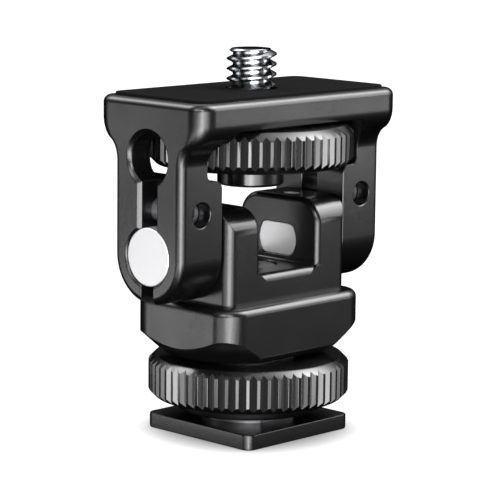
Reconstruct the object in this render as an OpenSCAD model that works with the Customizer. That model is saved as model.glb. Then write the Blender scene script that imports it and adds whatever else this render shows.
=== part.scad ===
// Tilt and swivel mount: a cold shoe foot with a lock ring, a swivelling
// clevis block, and a tilting yoke that carries a thumb wheel and a stud.
// Frame: millimetres, +Z up, origin at the bottom centre of the foot,
// X along the tilt axis.

/* [Cold shoe foot] */
// side of the square foot plate
foot_side = 18.6; // [18:0.1:18.7]
// thickness of the foot plate
foot_t = 1.95; // [1.6:0.05:2.1]
// corner radius of the foot plate in plan
foot_corner = 1.2; // [0.6:0.1:2.5]
// gap for the shoe rails between foot plate and clamp washer
rail_gap = 1.05; // [0.8:0.05:1.6]

/* [Clamp washer and lock ring] */
// radius of the clamp washer
clamp_r = 9.3; // [8.6:0.1:10.6]
// thickness of the clamp washer's rim
clamp_t = 0.95; // [0.7:0.05:1.5]
// radius over the knurl of the lock ring
ring_r = 12.87; // [11.8:0.01:15.5]
// height of the lock ring
ring_h = 5.5; // [4.6:0.1:7]
// radius of the stem's thread inside the ring
thread_r = 6; // [5.2:0.1:6.2]
// height left above the ring so that it can be unscrewed
ring_lift = 0.8; // [0.7:0.05:1.4]

/* [Knurl] */
// number of grooves round the ring and the wheel
teeth = 60; // [40:1:70]
// depth of each knurl groove
groove_depth = 0.44; // [0.3:0.02:0.7]
// height of the bevels above and below the knurl
knurl_bevel = 0.88; // [0.5:0.01:1.1]

/* [Base block] */
// width of the flange along the tilt axis
flange_w = 24.98; // [23:0.02:25.2]
// depth of the flange across the tilt axis
flange_d = 18.02; // [16.4:0.02:19.6]
// height of the flange
flange_h = 7.35; // [6.6:0.05:9]
// corner radius of the flange in plan
flange_corner = 3.26; // [2:0.02:4]
// width of the clevis block over both ears
ears_w = 21.2; // [18.6:0.1:21.6]
// depth of the clevis block
ears_d = 14.06; // [13.2:0.02:14.3]
// width of the window between the ears
window_w = 10.2; // [9.9:0.1:10.8]
// rounding at the front and back of each ear's top
ear_round = 3.2; // [2:0.1:4]
// height of the ear tops above the tilt axis
ear_above = 5.66; // [5.2:0.02:6.2]
// depth of the window floor below the tilt axis
floor_below = 2.74; // [2.6:0.02:3.2]

/* [Tilt pivot] */
// radius of the round part of each pivot shaft
pivot_r = 3.65; // [3.1:0.05:4.4]
// radius of the double-flat tenon on each shaft
tenon_r = 3.2; // [2.8:0.05:3.6]
// distance between the two flats of the tenon
tenon_flats = 4.16; // [3.6:0.02:4.8]

/* [Yoke] */
// overall width of the yoke along the tilt axis
yoke_w = 36; // [33:0.1:43.2]
// gap between each ear and the arm beside it
arm_gap = 0.37; // [0.3:0.01:1.3]
// radius of the rounded arm ends, half the arm depth
arm_r = 6; // [5.2:0.1:7.2]
// clear height between the arm ends and the flange
under_arm = 0.34; // [0.3:0.02:0.8]
// depth of the top plate across the tilt axis
plate_d = 18.86; // [16.8:0.02:22.6]
// thickness of the top plate
plate_t = 3.65; // [3:0.05:4.4]
// corner radius of the top plate in plan
plate_corner = 2.8; // [1:0.1:3.2]
// radius of the round hole at the top of each keyhole
key_r = 3.2; // [2.6:0.05:3.6]
// height of that hole above the tilt axis
key_above = 12.16; // [11:0.02:12.4]
// width of the slot that joins it to the pivot bore
slot_w = 2.7; // [1.6:0.1:3.2]
// width of the slit below the pivot bore
slit_w = 2.1; // [0.8:0.1:2.6]
// size of the bevel along the keyhole's outer edge
key_bevel = 0.45; // [0.2:0.05:0.6]
// height of the tension screws above the tilt axis
tension_above = 5.5; // [5.3:0.02:6.2]
// radius of the tension screws
tension_r = 1.45; // [1:0.05:1.5]

/* [Thumb wheel and stud] */
// radius over the knurl of the thumb wheel
wheel_r = 13.05; // [11.4:0.01:13.6]
// height of the thumb wheel
wheel_h = 5.2; // [4.6:0.1:6.4]
// radius of the hub below the wheel
hub_r = 4.24; // [3.9:0.02:4.5]
// height of the hub
hub_h = 2.68; // [2.4:0.02:2.7]
// distance from the tilt axis up to the hub
hub_above = 7.53; // [7.45:0.01:8.6]
// radius of the stud over its thread, a quarter inch thread
stud_r = 3.175; // [3.175:0.001:3.18]
// height of the stud above the pad
stud_out = 5; // [4:0.1:7]
// thickness of the pad on the plate
pad_t = 0.35; // [0.25:0.05:1]
// distance from the plate's edge to the pad's edge
pad_inset = 1.35; // [0.8:0.05:1.8]

/* [Hidden] */
$fn = 96;
// thread pitch of the quarter inch stud
pitch = 1.27;
// running clearance of shafts in their bores
run_gap = 0.05;
// clearance of pieces pressed or screwed together
seat_gap = 0.02;
// gap between faces that move past each other
face_gap = 0.3;
// heights above the foot
z_clamp = foot_t + rail_gap;
z_ring = z_clamp + clamp_t + face_gap;
z_ring_top = z_ring + ring_h;
z_base = z_ring_top + ring_lift;
z_flange = z_base + flange_h;
z_pivot = z_flange + under_arm + arm_r;
z_floor = z_pivot - floor_below;
z_ears = z_pivot + ear_above;
z_hub = z_pivot + hub_above;
z_wheel = z_hub + hub_h;
z_wheel_top = z_wheel + wheel_h;
z_plate = z_wheel_top + 0.35;
z_plate_top = z_plate + plate_t;
z_pad = z_plate_top + pad_t;
z_stud = z_pad + stud_out;
z_key = z_pivot + key_above;
z_tension = z_pivot + tension_above;
// stem sizes
spigot_r = 4;
journal_r = 4.5;
stem_flats = 10.6;
washer_t = 0.5;
z_shoulder = z_base - washer_t;
web_t = 2;
screw_head_h = 1.6;
cone_spring_t = 0.5;
z_pocket = z_floor - 2.25;
z_web = z_pocket - web_t;
z_journal = z_web - 0.3;
screw_r = 2;
screw_head_r = 3.4;
// base sizes
under_bevel = 0.9;
cone_offset = 0.3;
// arm sizes
arm_in = ears_w / 2 + arm_gap;
arm_out = yoke_w / 2;
arm_mid = (arm_in + arm_out) / 2;
shaft_end = arm_out - 0.2;
tenon_end = window_w / 2;
ear_mid = (ears_w / 2 + window_w / 2) / 2;
set_r = 1.05;
plate_round = 0.95;
flare_r = 2.9;
flare_out = plate_d / 2 - arm_r;
flare_turn = acos(1 - flare_out / (2 * flare_r));
flare_h = 2 * flare_r * sin(flare_turn);
z_flare_top = z_plate + 0.8;
z_flare = z_flare_top - flare_h;
pocket_w = 2 * (wheel_r + 0.27);
z_arm_pocket = z_wheel - 0.7;
shank_r = 3;
stud_hole_r = stud_r + 0.12;
clip_r = 4.4;
clip_t = 0.5;
clip_groove = 0.5;
z_clip = z_plate_top - 0.75;
thread_deep = 0.6134 * pitch;
// colours
black = [0.05, 0.05, 0.055];
pad_black = [0.03, 0.03, 0.03];
steel = [0.75, 0.76, 0.78];
nylon = [0.12, 0.12, 0.12];

// which piece to draw

// ---- shared shapes ----

// a square plate outline with rounded corners
module round_rect(w, d, r) {
    square([w - 2 * r, d], center = true);
    square([w, d - 2 * r], center = true);
    for (sx = [-1, 1], sy = [-1, 1])
        translate([sx * (w / 2 - r), sy * (d / 2 - r)])
            circle(r);
}

// a cylinder along X between two positions
module rod_x(r, x0, x1) {
    translate([x0, 0, 0])
        rotate([0, 90, 0])
            cylinder(r = r, h = x1 - x0);
}

// an outline in Y and Z drawn out along X
module along_x(x0, x1) {
    translate([x0, 0, 0])
        rotate([90, 0, 90])
            linear_extrude(height = x1 - x0)
                children();
}

// a knurled disc with bevelled rims and a plain bore
module knurled_disc(r, bore, z0, z1) {
    bevel = knurl_bevel;
    half = 0.356 * 2 * PI * r / teeth;
    difference() {
        rotate_extrude()
            polygon([[bore, z0], [r - bevel, z0], [r, z0 + bevel],
                     [r, z1 - bevel], [r - bevel, z1], [bore, z1]]);
        for (i = [0:teeth - 1])
            rotate([0, 0, (i + 0.5) * 360 / teeth])
                translate([0, 0, z0 - 1])
                    linear_extrude(height = z1 - z0 + 2)
                        polygon([[r - groove_depth, 0], [r + groove_depth, -2 * half],
                                 [r + groove_depth, 2 * half]]);
    }
}

// a socket set screw along Z with its open end up
module socket_screw(r, z0, z1, flats) {
    difference() {
        translate([0, 0, z0])
            cylinder(r = r, h = z1 - z0);
        translate([0, 0, z1 - r])
            cylinder(r = flats / sqrt(3), h = r + 1, $fn = 6);
    }
}

// the outline of the double-flat tenon, in Y and Z about the tilt axis
module tenon_outline(extra) {
    intersection() {
        circle(tenon_r + extra);
        square([2 * tenon_r + 2, tenon_flats + 2 * extra], center = true);
    }
}

// ---- foot, stem and lock ring ----

module shoe_foot() {
    color(black)
    difference() {
        linear_extrude(height = foot_t)
            round_rect(foot_side, foot_side, foot_corner);
        translate([0, 0, -1])
            cylinder(r = spigot_r + seat_gap, h = foot_t + 2);
    }
}

module swivel_stem() {
    color(steel)
    difference() {
        union() {
            translate([0, 0, 0.3])
                cylinder(r = spigot_r, h = foot_t);
            intersection() {
                translate([0, 0, foot_t])
                    cylinder(r = thread_r, h = z_shoulder - foot_t);
                translate([0, 0, z_ring])
                    cube([20, stem_flats, 30], center = true);
            }
            translate([0, 0, z_shoulder - 1])
                cylinder(r = journal_r, h = z_journal - z_shoulder + 1);
        }
        translate([0, 0, z_ring])
            cylinder(r = screw_r + seat_gap, h = 30);
    }
}

module centre_screw() {
    color(steel)
    difference() {
        union() {
            translate([0, 0, z_pocket + cone_spring_t])
                cylinder(r = screw_head_r, h = screw_head_h);
            translate([0, 0, z_ring + 1])
                cylinder(r = screw_r, h = z_pocket + cone_spring_t - z_ring);
        }
        translate([0, 0, z_pocket + cone_spring_t + 0.5])
            cylinder(r = 1.5, h = 3, $fn = 6);
    }
}

module clamp_washer() {
    color(black)
    difference() {
        union() {
            translate([0, 0, z_clamp])
                cylinder(r = clamp_r, h = clamp_t);
            translate([0, 0, z_clamp])
                cylinder(r = thread_r + 1.4, h = clamp_t + 1.1);
        }
        intersection() {
            translate([0, 0, z_clamp - 1])
                cylinder(r = thread_r + run_gap, h = 5);
            translate([0, 0, z_clamp])
                cube([20, stem_flats + 2 * run_gap, 10], center = true);
        }
    }
}

module lock_ring() {
    color(black)
    difference() {
        knurled_disc(ring_r, thread_r + run_gap, z_ring, z_ring_top);
        translate([0, 0, z_ring - 1])
            cylinder(r = thread_r + 1.5, h = 2.1);
    }
}

// ---- base block and pivot ----

module base_body() {
    top_profile = [[-ears_d / 2, z_flange - 1], [ears_d / 2, z_flange - 1],
                   [ears_d / 2, z_ears - ear_round], [-ears_d / 2, z_ears - ear_round]];
    // flange, trimmed by a cone below and bevelled front and back
    intersection() {
        translate([0, 0, z_base])
            linear_extrude(height = flange_h)
                round_rect(flange_w, flange_d, flange_corner);
        rotate_extrude()
            polygon([[0, z_base], [z_base + cone_offset, z_base],
                     [z_base + cone_offset + 6, z_base + 6],
                     [z_base + cone_offset + 6, z_flange], [0, z_flange]]);
        along_x(-20, 20)
            polygon([[-flange_d / 2 + under_bevel, z_base],
                     [flange_d / 2 - under_bevel, z_base],
                     [flange_d / 2, z_base + under_bevel],
                     [flange_d / 2, z_flange - 0.6], [flange_d / 2 - 0.6, z_flange],
                     [-flange_d / 2 + 0.6, z_flange], [-flange_d / 2, z_flange - 0.6],
                     [-flange_d / 2, z_base + under_bevel]]);
    }
    // clevis block with rounded ear tops
    intersection() {
        along_x(-ears_w / 2, ears_w / 2)
            union() {
                polygon(top_profile);
                translate([-ears_d / 2 + ear_round, z_pivot - 3])
                    square([ears_d - 2 * ear_round, z_ears - z_pivot + 3]);
                for (s = [-1, 1])
                    translate([s * (ears_d / 2 - ear_round), z_ears - ear_round])
                        circle(ear_round);
            }
        translate([0, 0, z_flange - 1])
            linear_extrude(height = z_ears - z_flange + 2)
                round_rect(ears_w, ears_d, 1.5);
    }
}

module base_block() {
    color(black)
    difference() {
        base_body();
        // window between the ears
        translate([-window_w / 2, -ears_d, z_floor])
            cube([window_w, 2 * ears_d, 30]);
        // bore for the stem, web hole and screw pocket
        translate([0, 0, z_base - 1])
            cylinder(r = journal_r + run_gap, h = z_web - z_base + 1);
        translate([0, 0, z_web - 1])
            cylinder(r = screw_r + 0.3, h = 10);
        translate([0, 0, z_pocket])
            cylinder(r = screw_head_r + 0.15, h = 10);
        // double-flat holes for the tenons
        translate([0, 0, z_pivot])
            along_x(-20, 20)
                tenon_outline(seat_gap);
        // set screw holes
        for (s = [-1, 1])
            translate([s * ear_mid, 0, z_pivot])
                cylinder(r = set_r + seat_gap, h = 10);
    }
}

module swivel_washer() {
    color(nylon)
    difference() {
        translate([0, 0, z_shoulder + 0.1])
            cylinder(r = thread_r - 0.2, h = washer_t - 0.1);
        translate([0, 0, z_shoulder - 1])
            cylinder(r = journal_r + run_gap, h = 3);
    }
}

module cone_spring() {
    color(steel)
    rotate_extrude()
        polygon([[screw_r + 0.3, z_pocket + 0.2], [screw_head_r, z_pocket],
                 [screw_head_r, z_pocket + 0.25], [screw_r + 0.3, z_pocket + 0.45]]);
}

module pivot_shaft() {
    color(steel)
    translate([0, 0, z_pivot]) {
        rod_x(pivot_r, ears_w / 2, shaft_end - 0.3);
        translate([shaft_end - 0.3, 0, 0])
            rotate([0, 90, 0])
                cylinder(r1 = pivot_r, r2 = pivot_r - 0.3, h = 0.3);
        along_x(tenon_end, ears_w / 2)
            tenon_outline(0);
    }
}

module pivot_shaft_right() {
    pivot_shaft();
}

module pivot_shaft_left() {
    mirror([1, 0, 0])
        pivot_shaft();
}

module set_screw(side) {
    color(steel)
    translate([side * ear_mid, 0, 0])
        socket_screw(set_r, z_pivot + tenon_flats / 2, z_ears - 0.1, 0.9);
}

module set_screw_left() {
    set_screw(-1);
}

module set_screw_right() {
    set_screw(1);
}

module thrust_washer() {
    color(nylon)
    translate([0, 0, z_pivot])
        difference() {
            rod_x(pivot_r + 1.1, ears_w / 2, arm_in - 0.1);
            rod_x(pivot_r + seat_gap, 0, 20);
        }
}

module thrust_washer_right() {
    thrust_washer();
}

module thrust_washer_left() {
    mirror([1, 0, 0])
        thrust_washer();
}

// ---- yoke ----

// points on a quarter or part of a circle
function arc(cy, cz, r, a0, a1, n) =
    [for (i = [0:n]) [cy + r * cos(a0 + (a1 - a0) * i / n), cz + r * sin(a0 + (a1 - a0) * i / n)]];

// half of the yoke's side outline, from the arm up to the plate's top
function flare_side() = concat(
    [[arm_r, z_pivot]],
    arc(arm_r + flare_r, z_flare, flare_r, 180, 180 - flare_turn, 8),
    arc(plate_d / 2 - flare_r, z_flare_top, flare_r, -flare_turn, 0, 8),
    arc(plate_d / 2 - plate_round, z_plate_top - plate_round, plate_round, 0, 90, 4));

// the same points on the other side, in the opposite order
function other_side(p) = [for (i = [len(p) - 1:-1:0]) [-p[i][0], p[i][1]]];

module yoke_body() {
    intersection() {
        along_x(-arm_out, arm_out)
            union() {
                polygon(concat(flare_side(), other_side(flare_side())));
                translate([0, z_pivot])
                    circle(arm_r);
            }
        union() {
            translate([0, 0, z_pivot - 20])
                linear_extrude(height = z_flare - z_pivot + 20.5)
                    round_rect(yoke_w, 2 * arm_r, 0.7);
            translate([0, 0, z_flare])
                linear_extrude(height = z_plate_top - z_flare)
                    round_rect(yoke_w, plate_d, plate_corner);
        }
        translate([0, plate_d, 0])
            rotate([90, 0, 0])
                linear_extrude(height = 2 * plate_d)
                    polygon([[-arm_out, 0], [arm_out, 0],
                             [arm_out, z_plate_top - 0.5], [arm_out - 0.5, z_plate_top],
                             [-arm_out + 0.5, z_plate_top], [-arm_out, z_plate_top - 0.5]]);
    }
}

// the keyhole cut through one arm, with its outer bevel
module keyhole() {
    translate([0, 0, z_pivot])
        rod_x(pivot_r + run_gap, 0, arm_out + 1);
    translate([0, 0, z_pivot])
        translate([arm_out - key_bevel, 0, 0])
            rotate([0, 90, 0])
                cylinder(r1 = pivot_r + run_gap, r2 = pivot_r + run_gap + 2 * key_bevel, h = 2 * key_bevel);
    translate([0, 0, z_key])
        rod_x(key_r, 0, arm_out + 1);
    translate([0, 0, z_key])
        translate([arm_out - key_bevel, 0, 0])
            rotate([0, 90, 0])
                cylinder(r1 = key_r, r2 = key_r + 2 * key_bevel, h = 2 * key_bevel);
    translate([0, -slot_w / 2, z_pivot])
        cube([arm_out + 1, slot_w, key_above]);
    translate([0, -slit_w / 2, z_pivot - arm_r - 1])
        cube([arm_out + 1, slit_w, arm_r + 1]);
}

module yoke_frame() {
    color(black)
    difference() {
        yoke_body();
        // space between the arms
        translate([-arm_in, -plate_d, 0])
            cube([2 * arm_in, 2 * plate_d, z_plate]);
        // wheel pocket
        translate([-pocket_w / 2, -plate_d, z_arm_pocket])
            cube([pocket_w, 2 * plate_d, z_plate - z_arm_pocket]);
        keyhole();
        mirror([1, 0, 0])
            keyhole();
        // tension screw holes
        for (s = [-1, 1])
            translate([s * arm_mid, 0, z_tension])
                rotate([90, 0, 0])
                    translate([0, 0, -arm_r + 1.2])
                        cylinder(r = tension_r + run_gap, h = 2 * arm_r);
        // stud hole and clip recess
        cylinder(r = stud_hole_r, h = 100);
        translate([0, 0, z_clip - 0.1])
            cylinder(r = clip_r + 0.2, h = 10);
    }
}

module top_pad() {
    color(pad_black)
    difference() {
        translate([0, 0, z_plate_top])
            linear_extrude(height = pad_t)
                round_rect(yoke_w - 2 * pad_inset, plate_d - 2 * pad_inset, plate_corner - 0.9);
        translate([0, 0, z_plate_top - 1])
            cylinder(r = stud_hole_r, h = pad_t + 2);
    }
}

module tension_screw(side) {
    color(steel)
    translate([side * arm_mid, 0, z_tension])
        rotate([90, 0, 0])
            socket_screw(tension_r, -arm_r + 1.5, arm_r - 2, 1.5);
}

module tension_screw_left() {
    tension_screw(-1);
}

module tension_screw_right() {
    tension_screw(1);
}

// ---- thumb wheel and stud ----

module thumb_wheel() {
    color(black)
    knurled_disc(wheel_r, shank_r + seat_gap, z_wheel, z_wheel_top);
}

module wheel_hub() {
    color(black)
    difference() {
        rotate_extrude()
            polygon([[0, z_hub], [hub_r - 0.3, z_hub], [hub_r, z_hub + 0.3],
                     [hub_r, z_wheel], [0, z_wheel]]);
        translate([0, 0, z_hub + 1])
            cylinder(r = shank_r + seat_gap, h = 10);
    }
}

// ring-shaped grooves stand for the helical thread on the stud
module stud_screw() {
    turns = floor((stud_out - 0.8) / pitch);
    color(steel)
    difference() {
        rotate_extrude()
            polygon([[0, z_hub + 1.05], [shank_r, z_hub + 1.05], [shank_r, z_pad],
                     [stud_r, z_pad], [stud_r, z_stud - 0.6], [stud_r - 0.6, z_stud],
                     [0, z_stud]]);
        for (i = [0:turns - 1])
            rotate_extrude()
                translate([0, z_stud - 0.7 - (i + 0.5) * pitch])
                    polygon([[stud_r - thread_deep, -pitch / 16], [stud_r + 0.01, -pitch * 0.45],
                             [stud_r + 0.01, pitch * 0.45], [stud_r - thread_deep, pitch / 16]]);
        translate([0, 0, z_clip])
            difference() {
                cylinder(r = 5, h = clip_t);
                translate([0, 0, -1])
                    cylinder(r = shank_r - clip_groove, h = 3);
            }
    }
}

module stud_clip() {
    color(steel)
    translate([0, 0, z_clip + seat_gap])
        difference() {
            cylinder(r = clip_r, h = clip_t - 2 * seat_gap);
            translate([0, 0, -1])
                cylinder(r = shank_r - clip_groove + seat_gap, h = 3);
            translate([0, -1, -1])
                cube([10, 2, 3]);
        }
}

module wheel_washer() {
    color(nylon)
    difference() {
        translate([0, 0, z_wheel_top])
            cylinder(r = 7, h = 0.25);
        translate([0, 0, z_wheel_top - 1])
            cylinder(r = shank_r + seat_gap, h = 3);
    }
}

shoe_foot();
swivel_stem();
centre_screw();
clamp_washer();
lock_ring();
base_block();
swivel_washer();
cone_spring();
pivot_shaft_left();
pivot_shaft_right();
set_screw_left();
set_screw_right();
thrust_washer_left();
thrust_washer_right();
yoke_frame();
top_pad();
tension_screw_left();
tension_screw_right();
thumb_wheel();
wheel_hub();
stud_screw();
stud_clip();
wheel_washer();
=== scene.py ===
"""Visual model of a tilt and swivel mount, dressed round its CAD frame.

Every sub-assembly is a class that holds its sizes in millimetres and builds
its own meshes; finishes are small frozen dataclasses that make procedural
materials. The finished pieces ride on the CAD bodies by name.
"""

import logging
import math
from dataclasses import dataclass, field
from enum import Enum
from typing import Callable, Optional, Sequence

import bmesh
import bpy
from mathutils import Matrix, Vector


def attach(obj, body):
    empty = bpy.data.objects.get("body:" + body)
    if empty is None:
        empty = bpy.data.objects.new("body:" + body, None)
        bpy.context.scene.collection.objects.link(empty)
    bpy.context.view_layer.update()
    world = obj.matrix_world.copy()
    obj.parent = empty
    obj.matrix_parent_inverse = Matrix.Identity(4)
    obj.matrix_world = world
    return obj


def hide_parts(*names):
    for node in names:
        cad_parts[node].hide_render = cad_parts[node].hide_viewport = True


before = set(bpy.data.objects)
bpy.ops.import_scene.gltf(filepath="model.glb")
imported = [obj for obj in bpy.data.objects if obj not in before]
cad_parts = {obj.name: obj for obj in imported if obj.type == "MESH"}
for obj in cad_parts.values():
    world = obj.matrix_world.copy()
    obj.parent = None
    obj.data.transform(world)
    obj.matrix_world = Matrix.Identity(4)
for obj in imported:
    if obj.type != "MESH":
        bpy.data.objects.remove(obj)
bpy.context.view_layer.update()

log = logging.getLogger("mount")
MM = 0.001
WHITE = (1.0, 1.0, 1.0, 1.0)

# a corner of an outline: its two coordinates and the radius that rounds it
Corner = tuple[float, float, float]


class Axis(Enum):
    """The direction that an outline is drawn out along."""

    X = 0
    Y = 1
    Z = 2

    def point(self, a: float, b: float, along: float) -> Vector:
        """Place an outline's coordinates in space.

        Args:
            a: The outline's first coordinate (Y for X, X for Y and Z).
            b: The outline's second coordinate (Z for X and Y, Y for Z).
            along: The distance along this axis.

        Returns:
            The point in space.
        """
        if self is Axis.X:
            return Vector((along, a, b))
        if self is Axis.Y:
            return Vector((a, along, b))
        return Vector((a, b, along))

    @property
    def unit(self) -> Vector:
        """The unit vector of this axis."""
        return Vector([1.0 if i == self.value else 0.0 for i in range(3)])


class Join(Enum):
    """How one solid is combined with another."""

    CUT = "DIFFERENCE"
    ADD = "UNION"
    KEEP = "INTERSECT"


# ---------------------------------------------------------------- modelling


def show(name: str, data: bpy.types.ID) -> bpy.types.Object:
    """Put a new object with a mesh, lamp or camera into the scene."""
    made = bpy.data.objects.new(name, data)
    bpy.context.scene.collection.objects.link(made)
    return made


class Solid:
    """A closed shape under construction, in millimetres."""

    def __init__(self) -> None:
        """Start with an empty mesh."""
        self.bm = bmesh.new()

    # ---- starting shapes

    def outline(self, corners: Sequence[Corner], axis: Axis, at: float,
                steps: int = 6) -> list[bmesh.types.BMEdge]:
        """Draw a flat face with rounded corners.

        Args:
            corners: The corners in order, each with its own radius.
            axis: The axis that the face is square to.
            at: Where the face stands along that axis.
            steps: The number of segments in each rounded corner.

        Returns:
            The edges round the face.
        """
        before = set(self.bm.faces)
        verts = [self.bm.verts.new(axis.point(a, b, at)) for a, b, _ in corners]
        self.bm.faces.new(verts)
        count = len(verts)
        for i, (_, _, radius) in enumerate(corners):
            if radius <= 0.0:
                continue
            here, last, after = (axis.point(*corners[k % count][:2], at)
                                 for k in (i, i - 1, i + 1))
            half = (last - here).angle(after - here) / 2.0
            bmesh.ops.bevel(self.bm, geom=[verts[i]], offset=radius / math.tan(half),
                            offset_type="OFFSET",
                            segments=steps, profile=0.5, affect="VERTICES", material=-1,
                            clamp_overlap=False)
        face = next(f for f in self.bm.faces if f not in before)
        return list(face.edges)

    @classmethod
    def prism(cls, corners: Sequence[Corner], axis: Axis, low: float, high: float,
              steps: int = 6) -> "Solid":
        """Draw an outline out along an axis.

        Args:
            corners: The outline's corners, each with its radius.
            axis: The direction to draw it out along.
            low: Where it starts along the axis.
            high: Where it ends.
            steps: The number of segments in each rounded corner.

        Returns:
            The closed prism.
        """
        made = cls()
        made.outline(corners, axis, low, steps)
        return made.drawn_out(axis.unit * (high - low)).tidy()

    @classmethod
    def turned(cls, corners: Sequence[Corner], steps: int = 96, round_steps: int = 4) -> "Solid":
        """Turn an outline of radius and height round the Z axis.

        Args:
            corners: The outline's corners as radius, height and rounding.
            steps: The number of segments round the axis.
            round_steps: The number of segments in each rounded corner.

        Returns:
            The closed turned solid.
        """
        made = cls()
        edges = made.outline(corners, Axis.Y, 0.0, round_steps)
        bmesh.ops.delete(made.bm, geom=list(made.bm.faces), context="FACES_ONLY")
        on_axis = [e for e in edges if all(abs(v.co.x) < 1e-6 for v in e.verts)]
        bmesh.ops.delete(made.bm, geom=on_axis, context="EDGES")
        bmesh.ops.spin(made.bm, geom=list(made.bm.verts) + list(made.bm.edges), cent=(0, 0, 0),
                       axis=(0, 0, 1),
                       dvec=(0, 0, 0), angle=math.tau, steps=steps, use_merge=True)
        return made.tidy()

    @classmethod
    def rod(cls, radius: float, low: float, high: float, axis: Axis, steps: int = 96,
            end_radius: Optional[float] = None) -> "Solid":
        """Make a rod or a cone along an axis.

        Args:
            radius: The radius at the low end.
            low: Where it starts along the axis.
            high: Where it ends.
            axis: The axis it lies along.
            steps: The number of segments round it.
            end_radius: The radius at the high end, if it differs.

        Returns:
            The closed rod.
        """
        made = cls()
        bmesh.ops.create_cone(made.bm, cap_ends=True, cap_tris=False, segments=steps,
                              radius1=radius,
                              radius2=radius if end_radius is None else end_radius,
                              depth=high - low)
        turn = {Axis.X: Matrix.Rotation(math.pi / 2, 3, "Y"),
                Axis.Y: Matrix.Rotation(-math.pi / 2, 3, "X"),
                Axis.Z: Matrix.Identity(3)}[axis]
        bmesh.ops.rotate(made.bm, verts=made.bm.verts, cent=(0, 0, 0), matrix=turn)
        bmesh.ops.translate(made.bm, verts=made.bm.verts, vec=axis.unit * ((low + high) / 2))
        return made.tidy()

    @classmethod
    def block(cls, low: Sequence[float], high: Sequence[float]) -> "Solid":
        """Make a plain block, used only to cut other shapes.

        Args:
            low: The lowest corner.
            high: The highest corner.

        Returns:
            The closed block.
        """
        corners = [(low[0], low[1], 0.0), (high[0], low[1], 0.0), (high[0], high[1], 0.0),
                   (low[0], high[1], 0.0)]
        return cls.prism(corners, Axis.Z, low[2], high[2])

    @classmethod
    def loft(cls, sections: Sequence[tuple[float, Sequence[Corner]]], steps: int = 6,
             close_low: bool = True) -> "Solid":
        """Bridge level outlines from the bottom up.

        Args:
            sections: Each outline's height and corners, lowest first.
            steps: The number of segments in each rounded corner.
            close_low: Whether the lowest outline is filled.

        Returns:
            The lofted shape.
        """
        made = cls()
        loops = []
        for i, (height, corners) in enumerate(sections):
            edges = made.outline(corners, Axis.Z, height, steps)
            if 0 < i < len(sections) - 1 or (i == 0 and not close_low):
                bmesh.ops.delete(made.bm, geom=list(edges[0].link_faces), context="FACES_ONLY")
            loops.append(edges)
        for below, above in zip(loops, loops[1:]):
            bmesh.ops.bridge_loops(made.bm, edges=below + above)
        return made.tidy()

    # ---- changes

    def drawn_out(self, along: Vector) -> "Solid":
        """Extrude every face by a vector, keeping the first ones as an end."""
        grown = bmesh.ops.extrude_face_region(self.bm, geom=list(self.bm.faces),
                                              use_keep_orig=True)
        moved = [v for v in grown["geom"] if isinstance(v, bmesh.types.BMVert)]
        bmesh.ops.translate(self.bm, verts=moved, vec=along)
        return self

    def tidy(self) -> "Solid":
        """Merge doubled vertices and point every face outwards."""
        bmesh.ops.remove_doubles(self.bm, verts=self.bm.verts, dist=2e-4)
        bmesh.ops.recalc_face_normals(self.bm, faces=self.bm.faces)
        return self

    def moved(self, x: float = 0.0, y: float = 0.0, z: float = 0.0) -> "Solid":
        """Shift the shape.

        Args:
            x: The shift along X.
            y: The shift along Y.
            z: The shift along Z.

        Returns:
            This solid.
        """
        bmesh.ops.translate(self.bm, verts=self.bm.verts, vec=(x, y, z))
        return self

    def turned_by(self, degrees: float, axis: Axis) -> "Solid":
        """Turn the shape about an axis through the origin.

        Args:
            degrees: The angle.
            axis: The axis.

        Returns:
            This solid.
        """
        bmesh.ops.rotate(self.bm, verts=self.bm.verts, cent=(0, 0, 0),
                         matrix=Matrix.Rotation(math.radians(degrees), 3, axis.name))
        return self

    def mirrored(self, axis: Axis) -> "Solid":
        """Return a mirrored copy.

        Args:
            axis: The axis whose sign changes.

        Returns:
            The new solid.
        """
        made = Solid()
        made.bm = self.bm.copy()
        size = Vector((1, 1, 1))
        size[axis.value] = -1.0
        bmesh.ops.scale(made.bm, verts=made.bm.verts, vec=size)
        return made.tidy()

    def flattened(self, degrees: float = 0.3) -> "Solid":
        """Dissolve the edges between faces that lie in one plane.

        Args:
            degrees: The largest angle that still counts as flat.

        Returns:
            This solid.
        """
        bmesh.ops.dissolve_limit(self.bm, angle_limit=math.radians(degrees), verts=self.bm.verts,
                                 edges=self.bm.edges)
        return self

    def rounded(self, pick: Callable[[Vector, Vector], bool], radius: float, steps: int = 4,
                sharp: float = 25.0) -> "Solid":
        """Round the sharp edges that a test picks.

        Args:
            pick: Takes an edge's two ends and says whether it is rounded.
            radius: The size of the rounding.
            steps: The number of segments across it.
            sharp: The least angle between an edge's faces, in degrees.

        Returns:
            This solid.
        """
        edges = [e for e in self.bm.edges
                 if e.is_manifold and abs(e.calc_face_angle_signed(0.0)) > math.radians(sharp)
                 and pick(e.verts[0].co, e.verts[1].co)]
        if edges:
            bmesh.ops.bevel(self.bm, geom=edges, offset=radius, offset_type="OFFSET",
                            segments=steps, profile=0.5,
                            affect="EDGES", material=-1, clamp_overlap=False, loop_slide=True,
                            miter_outer="SHARP", miter_inner="SHARP")
        return self.tidy()

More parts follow.
